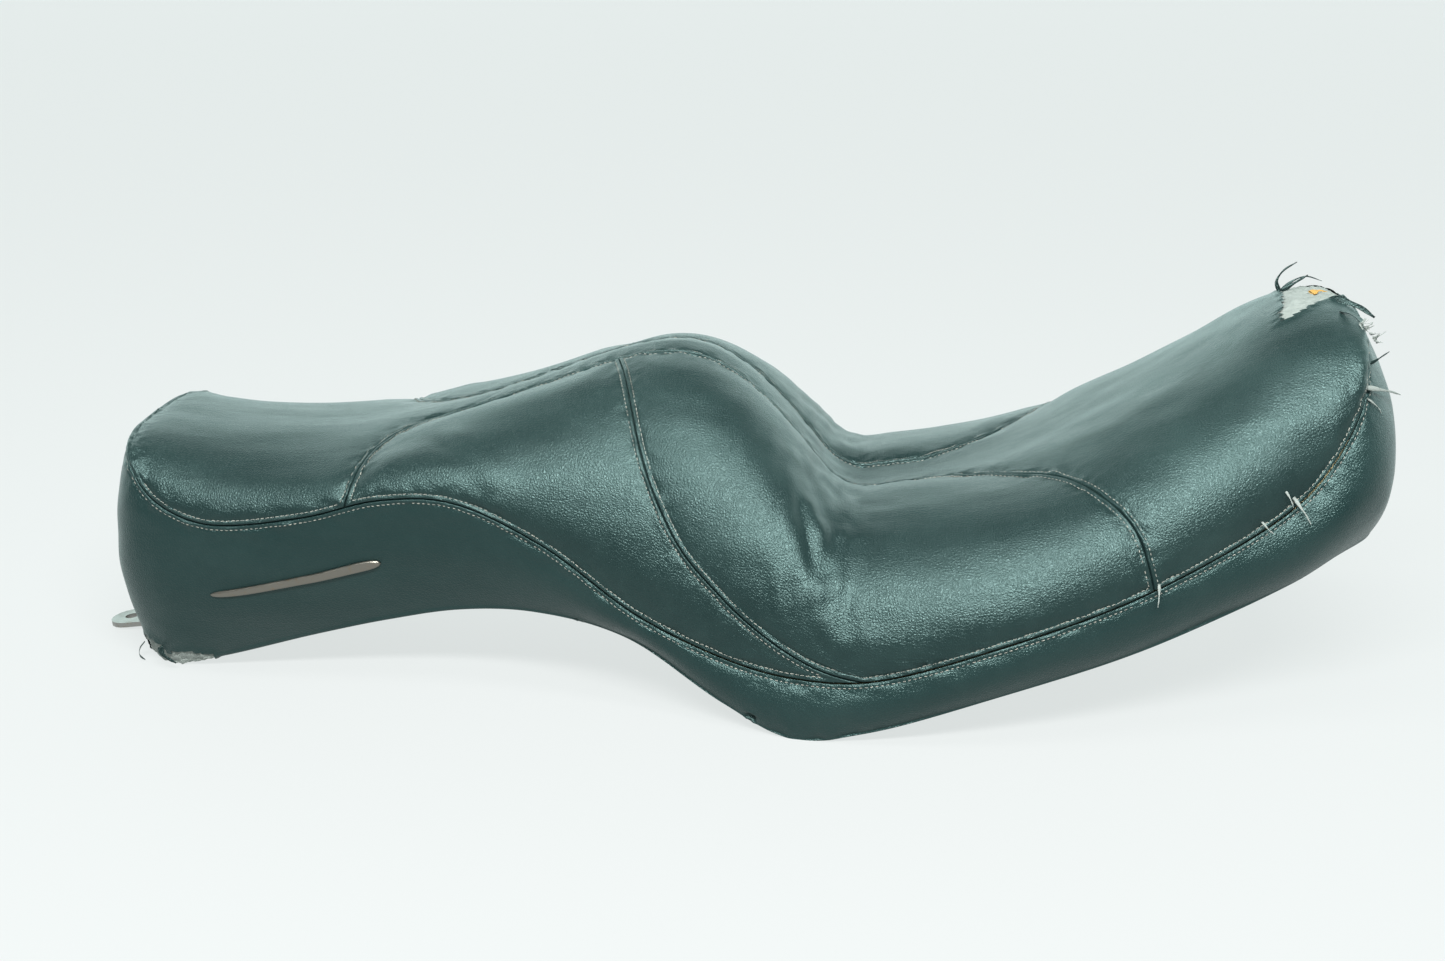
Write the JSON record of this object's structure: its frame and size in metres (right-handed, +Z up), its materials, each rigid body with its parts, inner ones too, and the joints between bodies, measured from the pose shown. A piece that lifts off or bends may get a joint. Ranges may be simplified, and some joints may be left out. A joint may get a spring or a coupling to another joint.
{
  "type": "two-up motorcycle seat",
  "caption": "Stepped two-up motorcycle seat with a scooped rider bucket, raised pillion step, stitched grained vinyl cover, moulded pan, rear bolt tab and front tongue.",
  "frame": {"origin": "middle of the bottom face of the bounding box, on the floor the seat lies on", "axes": "+X forward from the pillion end to the raised nose, +Y to the rider's left, +Z up; the seat lies right way up on its two rear corners and the two low points beside the rider's thighs"},
  "size_m": [0.7711, 0.3062, 0.2212],
  "materials": {
    "top_vinyl": "grained black vinyl, semi-gloss, greyed on the worn crowns",
    "side_vinyl": "grained black vinyl, satin",
    "fleece": "loose white polyester wadding, seen where the cover is torn",
    "foam": "aged yellow open-cell foam",
    "pan_plastic": "moulded black, fine spark texture",
    "plated_steel": "dull zinc plate with light rust at the edges",
    "rivet_steel": "dull plated",
    "trim_metal": "aged satin silver, cream in the hollows",
    "bumper_rubber": "matt moulded",
    "pin_plastic": "matt black"
  },
  "bodies": {
    "root": {"centre_panel": "top_vinyl", "pillion_side_panel_left": "top_vinyl", "pillion_side_panel_right": "top_vinyl", "bucket_panel_left": "top_vinyl", "bucket_panel_right": "top_vinyl", "valance_left": "side_vinyl", "valance_right": "side_vinyl", "badge_left": "trim_metal", "badge_right": "trim_metal", "top_wadding": "fleece", "foam_bun": "foam", "base_pan": "pan_plastic", "rear_mounting_tab": "plated_steel", "front_tongue_bracket": "plated_steel", "rear_tab_rivet_1": "rivet_steel", "rear_tab_rivet_2": "rivet_steel", "front_tongue_rivet_1": "rivet_steel", "front_tongue_rivet_2": "rivet_steel", "front_tongue_rivet_3": "rivet_steel", "front_tongue_rivet_4": "rivet_steel", "bumper_rear_left": "bumper_rubber", "bumper_pin_rear_left": "pin_plastic", "bumper_rear_right": "bumper_rubber", "bumper_pin_rear_right": "pin_plastic", "bumper_middle_left": "bumper_rubber", "bumper_pin_middle_left": "pin_plastic", "bumper_middle_right": "bumper_rubber", "bumper_pin_middle_right": "pin_plastic", "bumper_front_left": "bumper_rubber", "bumper_pin_front_left": "pin_plastic", "bumper_front_right": "bumper_rubber", "bumper_pin_front_right": "pin_plastic"}
  },
  "joints": []
}
